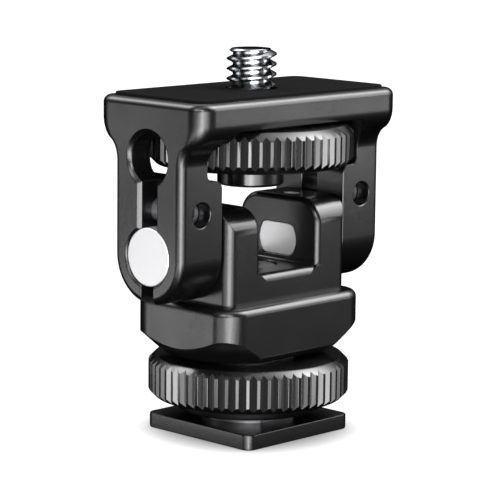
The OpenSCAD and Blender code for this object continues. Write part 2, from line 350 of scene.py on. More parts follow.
    def combine(self, how: Join, *others: "Solid") -> "Solid":
        """Combine this solid with others, one after another.

        Args:
            how: Whether they are cut away, added, or kept in common.
            *others: The other solids, which are used up.

        Returns:
            This solid.
        """
        for other in others:
            work, tool = show("work", self.mesh("work")), show("tool", other.mesh("tool"))
            modifier = work.modifiers.new("combine", "BOOLEAN")
            modifier.operation, modifier.solver, modifier.object = how.value, "EXACT", tool
            graph = bpy.context.evaluated_depsgraph_get()
            mesh = bpy.data.meshes.new_from_object(work.evaluated_get(graph))
            self.bm.clear()
            self.bm.from_mesh(mesh)
            bpy.data.meshes.remove(mesh)
            for lent in (work, tool):
                data = lent.data
                bpy.data.objects.remove(lent)
                bpy.data.meshes.remove(data)
            other.bm.free()
            bmesh.ops.remove_doubles(self.bm, verts=self.bm.verts, dist=2e-4)
        return self

    def cut(self, *others: "Solid") -> "Solid":
        """Cut other solids away."""
        return self.combine(Join.CUT, *others)

    def add(self, *others: "Solid") -> "Solid":
        """Add other solids."""
        return self.combine(Join.ADD, *others)

    def keep(self, *others: "Solid") -> "Solid":
        """Keep only what lies in other solids too."""
        return self.combine(Join.KEEP, *others)

    def mesh(self, name: str) -> bpy.types.Mesh:
        """Copy the shape into a new mesh."""
        made = bpy.data.meshes.new(name)
        self.bm.to_mesh(made)
        return made

    def take_in(self, other: "Solid") -> "Solid":
        """Take another shape's faces in as they are, and use it up."""
        mesh = other.mesh("taken")
        other.bm.free()
        self.bm.from_mesh(mesh)
        bpy.data.meshes.remove(mesh)
        return self

    def piece(self, name: str, sharp: float = 32.0) -> bpy.types.Object:
        """Finish the shape as an object in metres.

        Args:
            name: The object's name.
            sharp: The angle in degrees past which an edge stays sharp.

        Returns:
            The new object at the origin.
        """
        self.tidy()
        bmesh.ops.scale(self.bm, verts=self.bm.verts, vec=(MM, MM, MM))
        mesh = self.mesh(name)
        self.bm.free()
        mesh.shade_smooth()
        mesh.set_sharp_from_angle(angle=math.radians(sharp))
        made = show(name, mesh)
        weigh = made.modifiers.new("flat_normals", "WEIGHTED_NORMAL")
        weigh.keep_sharp = True
        weigh.weight = 80
        return made


def level_rect(width: float, depth: float, radius: float, middle: bool = False) -> list[Corner]:
    """Corners of a rectangle about the origin.

    Args:
        width: Its size along the first coordinate.
        depth: Its size along the second.
        radius: The rounding of its corners.
        middle: Whether the two ends get a vertex half way up.

    Returns:
        The corners, anticlockwise.
    """
    w, d = width / 2, depth / 2
    right = [(w, 0.0, 0.0)] if middle else []
    left = [(-w, 0.0, 0.0)] if middle else []
    return [(w, -d, radius), *right, (w, d, radius), (-w, d, radius), *left, (-w, -d, radius)]


# ---------------------------------------------------------------- materials


def add_node(tree: bpy.types.NodeTree, kind: str, inputs: dict[str | int, object],
             **values: object) -> bpy.types.Node:
    """Add a shader node.

    Args:
        tree: The tree it goes in.
        kind: The node's type, after ShaderNode.
        inputs: A socket to link or a value to set, for each input.
        **values: Properties, which are set before the inputs.

    Returns:
        The node.
    """
    made = tree.nodes.new("ShaderNode" + kind)
    for key, value in values.items():
        setattr(made, key, value)
    for label, value in inputs.items():
        if isinstance(value, bpy.types.NodeSocket):
            tree.links.new(value, made.inputs[label])
        else:
            made.inputs[label].default_value = value
    return made


def math_node(tree: bpy.types.NodeTree, how: str, first: object, second: object = 0.0,
              clamp: bool = False) -> bpy.types.NodeSocket:
    """Add a Math node.

    Args:
        tree: The tree it goes in.
        how: Its operation.
        first: A socket or a number.
        second: A socket or a number.
        clamp: Whether the result is held between 0 and 1.

    Returns:
        Its output socket.
    """
    return add_node(tree, "Math", {0: first, 1: second}, operation=how, use_clamp=clamp).outputs[0]


class Group:
    """A shader node group under construction."""

    def __init__(self, name: str, inputs: dict[str, float], outputs: Sequence[str]) -> None:
        """Make the group and its sockets.

        Args:
            name: The group's name.
            inputs: Its number inputs with their usual values.
            outputs: The names of its number outputs.
        """
        self.tree = bpy.data.node_groups.new(name, "ShaderNodeTree")
        for label, value in inputs.items():
            socket = self.tree.interface.new_socket(label, in_out="INPUT",
                                                    socket_type="NodeSocketFloat")
            socket.default_value = value
        for label in outputs:
            self.tree.interface.new_socket(label, in_out="OUTPUT", socket_type="NodeSocketFloat")
        self.given = self.tree.nodes.new("NodeGroupInput").outputs
        self.exit = self.tree.nodes.new("NodeGroupOutput")

    def node(self, kind: str, **inputs: object) -> bpy.types.Node:
        """Add a node whose inputs are named by keyword."""
        return add_node(self.tree, kind, inputs)

    def math(self, how: str, first: object, second: object,
             clamp: bool = False) -> bpy.types.NodeSocket:
        """Add a Math node."""
        return math_node(self.tree, how, first, second, clamp)

    def noise(self, scale: object, detail: float,
              place: Optional[bpy.types.NodeSocket] = None) -> bpy.types.NodeSocket:
        """Add noise on object coordinates, which are in metres.

        Args:
            scale: Its scale, a socket or a number.
            detail: Its detail.
            place: Coordinates to use instead.

        Returns:
            The noise, from 0 to 1.
        """
        if place is None:
            place = self.node("TexCoord").outputs["Object"]
        return self.node("TexNoise", Vector=place, Scale=scale, Detail=detail).outputs["Fac"]

    def spread(self, value: bpy.types.NodeSocket, low: float, high: float) -> bpy.types.NodeSocket:
        """Stretch the range from low to high over 0 to 1."""
        inputs = {"Value": value, "From Min": low, "From Max": high}
        return add_node(self.tree, "MapRange", inputs).outputs["Result"]

    def give(self, label: str, value: bpy.types.NodeSocket) -> None:
        """Link a socket to one of the group's outputs."""
        self.tree.links.new(value, self.exit.inputs[label])


class Shared:
    """The node groups that several finishes use."""

    def __init__(self) -> None:
        """Build every group once."""
        self.grain = self._grain()
        self.patches = self._patches()
        self.edges = self._edges()
        self.brushed = self._brushed()

    def _grain(self) -> bpy.types.NodeTree:
        """Fine blasted grain: a height and a speckle mask."""
        group = Group("blasted_grain", {"Scale": 5000.0, "Mix": 0.5}, ["Height", "Speckle"])
        coarse = group.noise(group.given["Scale"], 2.0)
        fine = group.noise(group.math("MULTIPLY", group.given["Scale"], 2.7), 1.0)
        part = group.math("MULTIPLY", fine, group.given["Mix"])
        group.give("Height", group.math("ADD", coarse, part))
        group.give("Speckle", group.spread(fine, 0.52, 0.72))
        return group.tree

    def _patches(self) -> bpy.types.NodeTree:
        """Broad soft patches that vary a finish, from 0 to 1."""
        group = Group("soft_patches", {"Scale": 160.0}, ["Patch"])
        group.give("Patch", group.spread(group.noise(group.given["Scale"], 3.0), 0.3, 0.7))
        return group.tree

    def _edges(self) -> bpy.types.NodeTree:
        """A mask of worn edges, broken up by noise."""
        group = Group("worn_edges", {"Radius": 0.0002, "Strength": 6.0}, ["Wear"])
        bevel = add_node(group.tree, "Bevel", {"Radius": group.given["Radius"]}, samples=4)
        sides = {0: bevel.outputs["Normal"], 1: group.node("NewGeometry").outputs["Normal"]}
        dot = add_node(group.tree, "VectorMath", sides, operation="DOT_PRODUCT")
        away = group.math("SUBTRACT", 1.0, dot.outputs["Value"], clamp=True)
        strong = group.math("MULTIPLY", away, group.given["Strength"])
        group.give("Wear", group.math("MULTIPLY", strong, group.noise(700.0, 2.0), clamp=True))
        return group.tree

    def _brushed(self) -> bpy.types.NodeTree:
        """Fine scratches that run along Y, for cut and ground ends."""
        group = Group("ground_lines", {"Scale": 9000.0, "Stretch": 0.06}, ["Lines"])
        place = group.node("SeparateXYZ", Vector=group.node("TexCoord").outputs["Object"]).outputs
        along = group.math("MULTIPLY", place["Y"], group.given["Stretch"])
        joined = group.node("CombineXYZ", X=place["X"], Y=along, Z=place["Z"])
        group.give("Lines", group.noise(group.given["Scale"], 2.0, joined.outputs["Vector"]))
        return group.tree


@dataclass(frozen=True)
class Finish:
    """A finish: its colours, gloss, grain and wear."""

    name: str
    slot: str
    colour: tuple[float, float, float]
    worn: tuple[float, float, float]
    roughness: float
    rough_spread: float = 0.06
    metallic: float = 0.0
    specular: float = 0.5
    grain_scale: float = 5000.0
    grain_height: float = 0.000004
    speckle: float = 0.15
    edge_radius: float = 0.0002
    edge_strength: float = 4.0
    lines: float = 0.0

    def material(self, shared: Shared) -> bpy.types.Material:
        """Build the material.

        Args:
            shared: The node groups that finishes share.

        Returns:
            The new material.
        """
        made = bpy.data.materials.new(self.name)
        made.use_nodes = True
        tree = made.node_tree
        tree.nodes.clear()

        def place(group: bpy.types.NodeTree, **inputs: float) -> bpy.types.NodeInputs:
            """Place a shared group and give its outputs."""
            return add_node(tree, "Group", inputs, node_tree=group).outputs

        def mix(factor: bpy.types.NodeSocket, first: object,
                second: object) -> bpy.types.NodeSocket:
            """Mix two colours."""
            inputs = {"Factor": factor, "A": first, "B": second}
            return add_node(tree, "Mix", inputs, data_type="RGBA").outputs["Result"]

        grain = place(shared.grain, Scale=self.grain_scale, Mix=0.5)
        patch = place(shared.patches, Scale=160.0)["Patch"]
        wear = place(shared.edges, Radius=self.edge_radius, Strength=self.edge_strength)["Wear"]
        # colour: base, speckled by the grain, then worn along the edges
        light = [0.35 * a + 0.65 * b for a, b in zip(self.colour, self.worn)]
        speckle = math_node(tree, "MULTIPLY", grain["Speckle"], self.speckle)
        flecked = mix(speckle, (*self.colour, 1.0), (*light, 1.0))
        # roughness: patches, and the ground lines where there are any
        spread = {0: patch, 1: self.rough_spread, 2: self.roughness - self.rough_spread / 2}
        level = add_node(tree, "Math", spread, operation="MULTIPLY_ADD").outputs[0]
        height = grain["Height"]
        if self.lines > 0.0:
            ground = place(shared.brushed, Scale=9000.0, Stretch=0.05)["Lines"]
            height = math_node(tree, "ADD", height,
                               math_node(tree, "MULTIPLY", ground, self.lines))
            level = math_node(tree, "ADD", level, math_node(tree, "MULTIPLY", ground, 0.08))
        bump = add_node(tree, "Bump",
                        {"Strength": 1.0, "Distance": self.grain_height, "Height": height})
        skin = add_node(tree, "BsdfPrincipled", {
            "Base Color": mix(wear, flecked, (*self.worn, 1.0)), "Roughness": level,
            "Metallic": self.metallic, "Specular IOR Level": self.specular,
            "Normal": bump.outputs["Normal"]})
        add_node(tree, "OutputMaterial", {"Surface": skin.outputs[0]})
        return made


ANODISED = Finish("anodised_black", "anodised_black", (0.0015, 0.0015, 0.0018),
                  (0.013, 0.013, 0.0145), 0.25,
                  specular=0.45, grain_height=0.000009)
KNURLED = Finish("knurled_black", "knurled_black", (0.002, 0.002, 0.0023), (0.006, 0.006, 0.007),
                 0.19,
                 grain_height=0.0000015, edge_radius=0.0001)
STEEL = Finish("steel", "steel", (0.62, 0.63, 0.65), (0.75, 0.76, 0.78), 0.32, metallic=1.0,
               grain_scale=3500.0,
               grain_height=0.000003)
BRIGHT = Finish("bright_steel", "bright_steel", (0.40, 0.41, 0.43), (0.5, 0.5, 0.52), 0.12,
                metallic=1.0,
                grain_height=0.000001, speckle=0.1)
GROUND = Finish("ground_steel", "steel", (0.72, 0.72, 0.73), (0.84, 0.84, 0.85), 0.42,
                metallic=1.0,
                grain_scale=4200.0, grain_height=0.000005, lines=0.8, speckle=0.5)
SCREW = Finish("screw_steel", "screw_steel", (0.20, 0.20, 0.21), (0.4, 0.4, 0.42), 0.34,
               metallic=0.8)
# a darker, almost unreflective copy of the anodised finish: painted shade for the clamp washer,
# which sits in the shadow under the lock ring
PAINTED_SHADE = Finish("anodised_shaded", "anodised_black", (0.001, 0.001, 0.001), (0.002, 0.002, 0.002),
                0.4,
                specular=0.05, grain_height=0.000002)
SCREW_FACE = Finish("screw_face", "screw_steel", (0.80, 0.80, 0.81), (0.9, 0.9, 0.9), 0.5,
                    metallic=0.2,
                    grain_height=0.000002)
NYLON = Finish("nylon", "nylon", (0.02, 0.02, 0.02), (0.04, 0.04, 0.04), 0.55, specular=0.4)
PAD = Finish("rubber_pad", "rubber_pad", (0.004, 0.004, 0.004), (0.012, 0.012, 0.012), 0.8,
             specular=0.02,
             grain_scale=3200.0, grain_height=0.00001)


class Workshop:
    """Makes each finish's material once and dresses pieces with it."""

    def __init__(self) -> None:
        """Build the shared node groups."""
        self.shared = Shared()
        self.made: dict[str, bpy.types.Material] = {}

    def material(self, finish: Finish) -> bpy.types.Material:
        """The material of a finish, made on first use."""
        if finish.name not in self.made:
            self.made[finish.name] = finish.material(self.shared)
        return self.made[finish.name]

    def dress(self, piece: bpy.types.Object, finish: Finish, body: str, *nodes: str) -> None:
        """Give a new piece its finish, body and CAD nodes.

        Args:
            piece: The new piece.
            finish: Its finish.
            body: The CAD body that it rides on.
            *nodes: The CAD nodes that it stands for.
        """
        piece.data.materials.clear()
        piece.data.materials.append(self.material(finish))
        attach(piece, body)
        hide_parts(*nodes)
        log.info("%s rides on %s, %d faces", piece.name, body, len(piece.data.polygons))

    def repaint(self, node: str, finish: Finish) -> None:
        """Give a CAD node that stays a better material.

        Args:
            node: The CAD node's name.
            finish: Its finish.
        """
        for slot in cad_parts[node].material_slots:
            slot.material = self.material(finish)
        log.info("%s keeps its CAD mesh", node)


# ---------------------------------------------------------------- pieces


@dataclass
class Knurl:
    """A bevelled disc with straight V grooves round its rim."""

    radius: float
    low: float
    high: float
    bore: float
    bevel: float
    phase: float
    grooves: int = 60
    depth: float = 0.55
    half: float = 0.356
    steps: int = 240

    def solid(self) -> Solid:
        """Turn the disc and cut its grooves.

        Returns:
            The knurled disc.
        """
        edge = self.radius - self.bevel
        disc = Solid.turned([
            (self.bore, self.low, 0.0), (edge, self.low, 0.25),
            (self.radius, self.low + self.bevel, 0.1), (self.radius, self.high - self.bevel, 0.1),
            (edge, self.high, 0.25), (self.bore, self.high, 0.0)], self.steps, 2)
        wide = 2 * self.half * (math.tau * self.radius / self.grooves)
        low, high = self.low - 1.0, self.high + 1.0
        tool = Solid()
        tool.outline([(self.radius - self.depth, 0.0, 0.0), (self.radius + self.depth, -wide, 0.0),
                      (self.radius + self.depth, wide, 0.0)], Axis.Z, low)
        tool.drawn_out(Axis.Z.unit * (high - low))
        step = 360.0 / self.grooves
        tool.turned_by(step / 2 + self.phase, Axis.Z)
        first = list(tool.bm.verts) + list(tool.bm.edges) + list(tool.bm.faces)
        bmesh.ops.spin(tool.bm, geom=first, cent=(0, 0, 0), axis=(0, 0, 1), dvec=(0, 0, 0),
                       angle=math.radians(360.0 - step), steps=self.grooves - 1,
                       use_duplicate=True)
        bmesh.ops.recalc_face_normals(tool.bm, faces=tool.bm.faces)
        rim = self.radius - 0.02
        return disc.cut(tool).rounded(lambda a, b: min(a.xy.length, b.xy.length) > rim, 0.03, 1,
                                      28.0)


@dataclass
class Foot:
    """The square foot plate with its stem, clamp washer and lock ring."""

    side: float = 18.6
    thick: float = 1.95
    corner: float = 1.2
    chamfer: float = 0.2
    spigot: float = 4.0
    spigot_bore: float = 4.02
    clamp_radius: float = 9.3
    clamp_low: float = 3.0
    clamp_high: float = 3.95
    clamp_bore: float = 6.06
    boss_radius: float = 7.4
    boss_rise: float = 1.1
    ring: Knurl = field(default_factory=lambda: Knurl(
        radius=12.87, low=4.45, high=9.85, bore=6.05, bevel=0.88, phase=2.4))
    ring_relief: float = 7.5
    stem_radius: float = 6.0
    stem_flats: float = 10.6
    stem_top: float = 10.05
    journal: float = 4.5
    journal_top: float = 16.95
    screw_bore: float = 2.02

    def plate(self) -> Solid:
        """The foot plate with small chamfers."""
        plate = Solid.prism(level_rect(self.side, self.side, self.corner), Axis.Z, 0.0, self.thick)
        plate.rounded(lambda a, b: abs(a.z - b.z) < 1e-4, self.chamfer, 2, 40.0)
        return plate.cut(Solid.rod(self.spigot_bore, -1.0, 3.0, Axis.Z))

    def stem(self) -> Solid:
        """The stem: spigot, flatted thread and journal."""
        flat = self.stem_flats / 2
        barrel = Solid.rod(self.stem_radius, self.thick, self.stem_top, Axis.Z)
        barrel.keep(Solid.block((-10, -flat, 0), (10, flat, 20)))
        journal = Solid.rod(self.journal, self.stem_top - 1.0, self.journal_top, Axis.Z)
        stem = Solid.rod(self.spigot, 0.3, 3.0, Axis.Z).add(barrel, journal)
        return stem.cut(Solid.rod(self.screw_bore, 7.0, 20.0, Axis.Z))

    def clamp(self) -> Solid:
        """The washer that presses on the shoe's rails."""
        low, high, top = self.clamp_low, self.clamp_high, self.clamp_high + self.boss_rise
        return Solid.turned([
            (self.clamp_bore, low, 0.0), (self.clamp_radius, low, 0.15),
            (self.clamp_radius, high, 0.15), (self.boss_radius, high, 0.0),
            (self.boss_radius, top, 0.1), (self.clamp_bore, top, 0.0)], 128, 2)

    def build(self, shop: Workshop) -> None:
        """Make and dress the pieces."""
        shop.dress(self.plate().piece("foot_plate"), ANODISED, "foot", "shoe_foot")
        shop.dress(self.stem().piece("stem"), SCREW, "foot", "swivel_stem")
        # the clamp washer gets the painted-shade copy of the anodised finish, standing in for the
        # lock ring's shadow
        shop.dress(self.clamp().piece("clamp_ring"), PAINTED_SHADE, "clamp", "clamp_washer")
        ring = self.ring.solid().cut(Solid.rod(self.ring_relief, 3.0, 5.4, Axis.Z))
        shop.dress(ring.piece("lock_ring_knurled", 24.0), KNURLED, "ring", "lock_ring")


@dataclass
class Base:
    """The flange and clevis block, with the pivot shafts and screws."""

    flange_w: float = 24.98
    flange_d: float = 18.02
    low: float = 10.55
    top: float = 17.9
    corner: float = 3.26
    lip: float = 1.0
    under_bevel: float = 0.9
    cone_radius: float = 10.86
    cone_back: float = 0.7
    sill: float = 1.05
    rim_round: float = 0.8
    block_corner: float = 1.4
    ears_w: float = 21.4
    ears_d: float = 14.06
    window: float = 10.2
    floor: float = 21.5
    ears_top: float = 29.9
    ear_round: float = 3.2
    pivot: float = 24.24
    shaft: float = 3.65
    shaft_out: float = 17.8
    tenon: tuple[float, float, float] = (6.4, 4.17, 1.4)
    tenon_radius: float = 3.2
    recess: float = 0.4
    recess_radius: float = 4.8
    washer_radius: float = 4.75
    washer_bore: float = 3.68
    washer_out: float = 10.87
    set_at: float = 7.7
    set_radius: float = 1.05

    def flange(self) -> Solid:
        """The flange: rounded plate, coned below, bevelled front and back."""
        sections = [(self.low - 0.5, level_rect(self.flange_w, self.flange_d, self.corner)),
                    (self.top - self.lip, level_rect(self.flange_w, self.flange_d, self.corner))]
        steps = 6
        for i in range(1, steps + 1):
            turn = math.pi / 2 * i / steps
            inset = self.lip * (1 - math.cos(turn))
            sections.append((self.top - self.lip + self.lip * math.sin(turn),
                             level_rect(self.flange_w - 2 * inset, self.flange_d - 2 * inset,
                                        self.corner - inset)))
        flange = Solid.loft(sections, 10)
        wide, rise = self.cone_radius + 9, self.low + 8.1
        cone = Solid.turned([(0.0, self.low, 0.0), (self.cone_radius, self.low, 0.0),
                             (wide, rise, 0.0), (0.0, rise, 0.0)], 192).moved(0, self.cone_back, 0)
        half, under = self.flange_d / 2, self.under_bevel
        chamfer = Solid.prism([
            (-half + under, self.low, 0.0), (half - under, self.low, 0.0),
            (half + 0.1, self.low + 1.0, 0.0), (half + 0.1, 20.0, 0.0),
            (-half - 0.1, 20.0, 0.0), (-half - 0.1, self.low + 1.0, 0.0)], Axis.X, -20, 20)
        return flange.keep(cone, chamfer)

    def clevis(self) -> Solid:
        """The block with two round-topped ears."""
        half = self.ears_d / 2
        block = Solid.prism([(-half, self.top - 0.5, 0.0), (half, self.top - 0.5, 0.0),
                             (half, self.ears_top, self.ear_round),
                             (-half, self.ears_top, self.ear_round)],
                            Axis.X, -self.ears_w / 2, self.ears_w / 2, 12)
        block.keep(Solid.prism(level_rect(self.ears_w, self.ears_d, self.block_corner), Axis.Z,
                               self.top - 2, self.ears_top + 2, 8))
        block.flattened()
        inner = self.window / 2
        low = self.floor - 1.5
        block.cut(Solid.block((-inner, -20, low), (inner, 20, 40)))

        def on_rim(a: Vector, b: Vector) -> bool:
            """Whether an edge belongs to the rim of the cut, its lower end included."""
            if max(a.z, b.z) < low + 1e-3:
                at_face = abs(a.y - b.y) < 1e-3 and abs(a.y) > half - 1e-3
                return at_face and max(abs(a.x), abs(b.x)) < inner + 1e-3
            return abs(abs(a.x) - inner) < 1e-3 and abs(abs(b.x) - inner) < 1e-3

        block.rounded(on_rim, self.rim_round, 5, 40.0)
        block.add(Solid.block((-inner - 1, -half, low - 1.0), (inner + 1, half, self.floor)))
        deep = self.sill
        arc = [(-half + deep * (1 - math.sin(t)), self.floor - deep * (1 - math.cos(t)), 0.0)
               for t in (math.radians(7.5 * i) for i in range(13))]
        ends = [(-inner, self.floor + 1, 0.0), (inner, self.floor + 1, 0.0),
                (inner, self.floor, 0.0),
                (inner - deep, self.floor - deep, 0.0), (deep - inner, self.floor - deep, 0.0),
                (-inner, self.floor, 0.0)]
        for turn in (0.0, 180.0):
            scoop = Solid.prism([
                (-half - 1, self.floor + 1, 0.0), (-half + deep, self.floor + 1, 0.0), *arc,
                (-half - 1, self.floor - deep, 0.0)], Axis.X, -inner - 1, inner + 1)
            block.cut(scoop.keep(Solid.prism(ends, Axis.Y, -20, 20)).turned_by(turn, Axis.Z))
        return block

    def body(self) -> Solid:
        """The whole base block in one."""
        body = self.flange().add(self.clevis())
        body.cut(Solid.rod(4.55, 9.0, 17.25, Axis.Z), Solid.rod(2.3, 16.0, 20.0, Axis.Z),
                 Solid.rod(3.55, 19.25, 30.0, Axis.Z))
        body.cut(self.tenon_form(0.03, -12, 12))
        for side in (-1, 1):
            low, high = sorted((side * (self.ears_w / 2 - self.recess), side * 12.0))
            body.cut(Solid.rod(self.recess_radius, low, high, Axis.X).moved(0, 0, self.pivot),
                     Solid.rod(1.07, self.pivot, 35.0, Axis.Z, 40).moved(side * self.set_at))

        def off_top(a: Vector, b: Vector) -> bool:
            """Whether an edge leaves the flange's top."""
            return max(abs(a.z - self.top), abs(b.z - self.top)) > 1e-3

        body.rounded(off_top, 0.06, 1, 30.0)
        return body

    def tenon_form(self, extra: float, low: float, high: float) -> Solid:
        """The double-flat form of the tenons.

        Args:
            extra: How much it is grown all round.
            low: Where it starts along X.
            high: Where it ends.

        Returns:
            The form about the tilt axis.
        """
        wide, high_flats, corner = self.tenon
        flat = Solid.prism(level_rect(wide + 2 * extra, high_flats + 2 * extra, corner + extra),
                           Axis.X, low, high)
        round_form = Solid.rod(self.tenon_radius + extra, low - 1, high + 1, Axis.X)
        return flat.keep(round_form).moved(0, 0, self.pivot)

    def shaft_solid(self) -> Solid:
        """One pivot shaft with its flatted tenon, on the right."""
        tenon = self.tenon_form(0.0, self.window / 2, 12.0)
        tenon.rounded(lambda a, b: max(a.x, b.x) < self.window / 2 + 1e-3, 0.15, 2, 40.0)
        barrel = Solid.rod(self.shaft, self.ears_w / 2, self.shaft_out, Axis.X, 128)
        barrel.moved(0, 0, self.pivot)
        barrel.rounded(lambda a, b: min(a.x, b.x) > self.shaft_out - 1e-3, 0.15, 3, 40.0)
        return barrel.add(tenon)

    def washer(self) -> Solid:
        """The thrust washer between ear and arm, on the right."""
        ring = Solid.rod(self.washer_radius, self.ears_w / 2 - self.recess, self.washer_out,
                         Axis.X)
        return ring.cut(Solid.rod(self.washer_bore, 5, 15, Axis.X)).moved(0, 0, self.pivot)

    def set_screw(self, side: int) -> Solid:
        """A set screw in the top of an ear.

        Args:
            side: -1 for left, 1 for right.

        Returns:
            The screw.
        """
        top = self.ears_top - 0.04
        screw = Solid.rod(self.set_radius, self.pivot + 2.08, top, Axis.Z, 40)
        screw.rounded(lambda a, b: min(a.z, b.z) > top - 0.1, 0.1, 2, 40.0)
        screw.cut(Solid.rod(0.48, top - 0.3, top + 1, Axis.Z, 6))
        return screw.moved(side * self.set_at)

    def centre_screw(self) -> Solid:
        """The screw that holds the block on the stem."""
        screw = Solid.turned([(0, 8.0, 0), (2.0, 8.0, 0.2), (2.0, 19.75, 0), (3.4, 19.75, 0.1),
                              (3.4, 21.35, 0.3),
                              (0, 21.35, 0)], 96, 3)
        return screw.cut(Solid.rod(1.5, 20.3, 23, Axis.Z, 6))

    def build(self, shop: Workshop) -> None:
        """Make and dress the pieces."""
        shop.dress(self.body().piece("clevis_block"), ANODISED, "base", "base_block")
        for right, name, finish, node in ((self.shaft_solid(), "shaft", GROUND, "pivot_shaft"),
                                          (self.washer(), "side_washer", NYLON, "thrust_washer")):
            left = right.mirrored(Axis.X)
            shop.dress(right.piece(f"{name}_right"), finish, "base", f"{node}_right")
            shop.dress(left.piece(f"{name}_left"), finish, "base", f"{node}_left")
        for side, word in ((-1, "left"), (1, "right")):
            shop.dress(self.set_screw(side).piece(f"grub_{word}"), SCREW_FACE, "base",
                       f"set_screw_{word}")
        shop.dress(self.centre_screw().piece("middle_screw"), SCREW, "foot", "centre_screw")


@dataclass
class Yoke:
    """The tilting yoke with its pad and tension screws."""

    width: float = 36.0
    arm_in: float = 10.97
    arm_round: float = 6.0
    arm_corner: float = 1.05
    pivot: float = 24.24
    flare_radius: float = 2.9
    plate_d: float = 18.86
    plate_low: float = 40.0
    plate_top: float = 43.65
    plate_corner: float = 2.5
    plate_round: float = 0.95
    bore: float = 3.7
    bore_bevel: float = 0.25
    key_z: float = 36.40
    key: float = 3.2
    slot: float = 2.7
    slit: float = 2.1
    bevel: float = 0.5
    pocket: float = 14.8
    pocket_low: float = 33.75
    tension_z: float = 29.74
    tension: float = 1.5
    pad_inset: float = 1.35
    pad_thick: float = 0.35

    @property
    def arm_middle(self) -> float:
        """Where an arm's middle stands along X."""
        return (self.arm_in + self.width / 2) / 2

    def flare(self) -> list[tuple[float, float, float]]:
        """Heights, half depths and corner radii up the flare.

        Returns:
            One entry for each level outline, lowest first.
        """
        half = self.plate_d / 2
        spread = half - self.arm_round
        turn = math.acos(1 - spread / (2 * self.flare_radius))
        top = self.plate_low + 1.0
        low = top - 2 * self.flare_radius * math.sin(turn)
        levels = []
        steps = 9
        for i in range(steps + 1):
            angle = turn * i / steps
            levels.append((low + self.flare_radius * math.sin(angle),
                           self.arm_round + self.flare_radius * (1 - math.cos(angle))))
        for i in range(1, steps + 1):
            angle = turn * (1 - i / steps)
            levels.append((top - self.flare_radius * math.sin(angle),
                           half - self.flare_radius * (1 - math.cos(angle))))
        widen = self.plate_corner - self.arm_corner
        return [(z, d, self.arm_corner + widen * (d - self.arm_round) / spread) for z, d in levels]

    def hull(self) -> Solid:
        """The outer form: round-ended arms flaring into the plate."""
        sections = [(self.pivot,
                     level_rect(self.width, 2 * self.arm_round, self.arm_corner, True))]
        sections += [(z, level_rect(self.width, 2 * d, r, True)) for z, d, r in self.flare()]
        steps = 6
        for i in range(steps + 1):
            turn = math.pi / 2 * i / steps
            inset = self.plate_round * (1 - math.cos(turn))
            sections.append((self.plate_top - self.plate_round * (1 - math.sin(turn)),
                             level_rect(self.width - 2 * inset, self.plate_d - 2 * inset,
                                        self.plate_corner - inset, True)))
        hull = Solid.loft(sections, 8, close_low=False)
        # the round ends of the arms: the lowest outline's back half, spun under
        end = Solid()
        edges = end.outline(level_rect(self.width, 2 * self.arm_round, self.arm_corner, True),
                            Axis.Z, self.pivot, 8)
        bmesh.ops.delete(end.bm, geom=list(edges[0].link_faces), context="FACES_ONLY")
        front = [v for v in end.bm.verts if v.co.y < -1e-5]
        bmesh.ops.delete(end.bm, geom=front, context="VERTS")
        bmesh.ops.spin(end.bm, geom=list(end.bm.verts) + list(end.bm.edges),
                       cent=(0, 0, self.pivot), axis=(1, 0, 0),
                       dvec=(0, 0, 0), angle=-math.pi, steps=48)
        bmesh.ops.remove_doubles(end.bm, verts=end.bm.verts, dist=1e-4)
        return hull.take_in(end).tidy().flattened(0.2)

    def keyhole(self) -> list[Solid]:
        """The tools that cut the right arm's keyhole and bevel its rim."""
        out = self.width / 2
        tools = []
        for radius, z, rim in ((self.bore, self.pivot, self.bore_bevel),
                               (self.key, self.key_z, self.bevel)):
            tools.append(Solid.rod(radius, 5.0, out + 1, Axis.X, 96).moved(0, 0, z))
            tools.append(Solid.rod(radius, out - rim, out + 0.2, Axis.X, 96,
                                   end_radius=radius + rim + 0.2).moved(0, 0, z))
        for wide, low, high, rim in ((self.slot, self.pivot + 2, self.key_z, self.bevel),
                                     (self.slit, self.pivot - 9, self.pivot, 0.12)):
            tools.append(Solid.block((5.0, -wide / 2, low), (out + 1, wide / 2, high)))
            half = wide / 2
            flare = Solid.prism([(out - rim, -half, 0.0), (out + 0.2, -half - rim - 0.2, 0.0),
                                 (out + 0.2, half + rim + 0.2, 0.0), (out - rim, half, 0.0)],
                                 Axis.Z, low, high)
            tools.append(flare)
        return tools

    def body(self) -> Solid:
        """The whole yoke in one."""
        body = self.hull()
        low, high, inner, pocket = self.pocket_low, self.plate_low, self.arm_in, self.pocket
        step = low + 0.01
        between = Solid.prism([
            (-inner, 5, 0), (inner, 5, 0), (inner, step, 1.1), (13, step, 0), (13, low + 2, 0),
            (-13, low + 2, 0), (-13, step, 0), (-inner, step, 1.1)], Axis.Y, -15, 15, 8)
        wheel_space = Solid.turned([(0, low, 0), (pocket, low, 1.0), (pocket, high, 0.5),
                                    (0, high, 0)], 160, 6)
        body.cut(between, wheel_space)
        for tool in self.keyhole():
            body.cut(tool, tool.mirrored(Axis.X))
        for side in (-1, 1):
            bore = Solid.rod(self.tension, -12, 4.8, Axis.Y, 48)
            rim = Solid.rod(self.tension + 0.35, -self.arm_round - 0.2, -self.arm_round + 0.15,
                            Axis.Y, 48,
                            end_radius=self.tension)
            for tool in (bore, rim):
                body.cut(tool.moved(side * self.arm_middle, 0, self.tension_z))
        body.cut(Solid.rod(3.3, 35, 50, Axis.Z), Solid.rod(4.6, 42.8, 50, Axis.Z))
        body.rounded(lambda a, b: True, 0.07, 1, 30.0)
        return body

    def pad(self) -> Solid:
        """The thin pad on the plate."""
        low, high = self.plate_top, self.plate_top + self.pad_thick
        pad = Solid.prism(level_rect(self.width - 2 * self.pad_inset,
                                     self.plate_d - 2 * self.pad_inset, 1.5),
                          Axis.Z, low, high)
        pad.rounded(lambda a, b: min(a.z, b.z) > high - 1e-3, 0.12, 2, 40.0)
        return pad.cut(Solid.rod(3.3, low - 1, high + 1, Axis.Z))

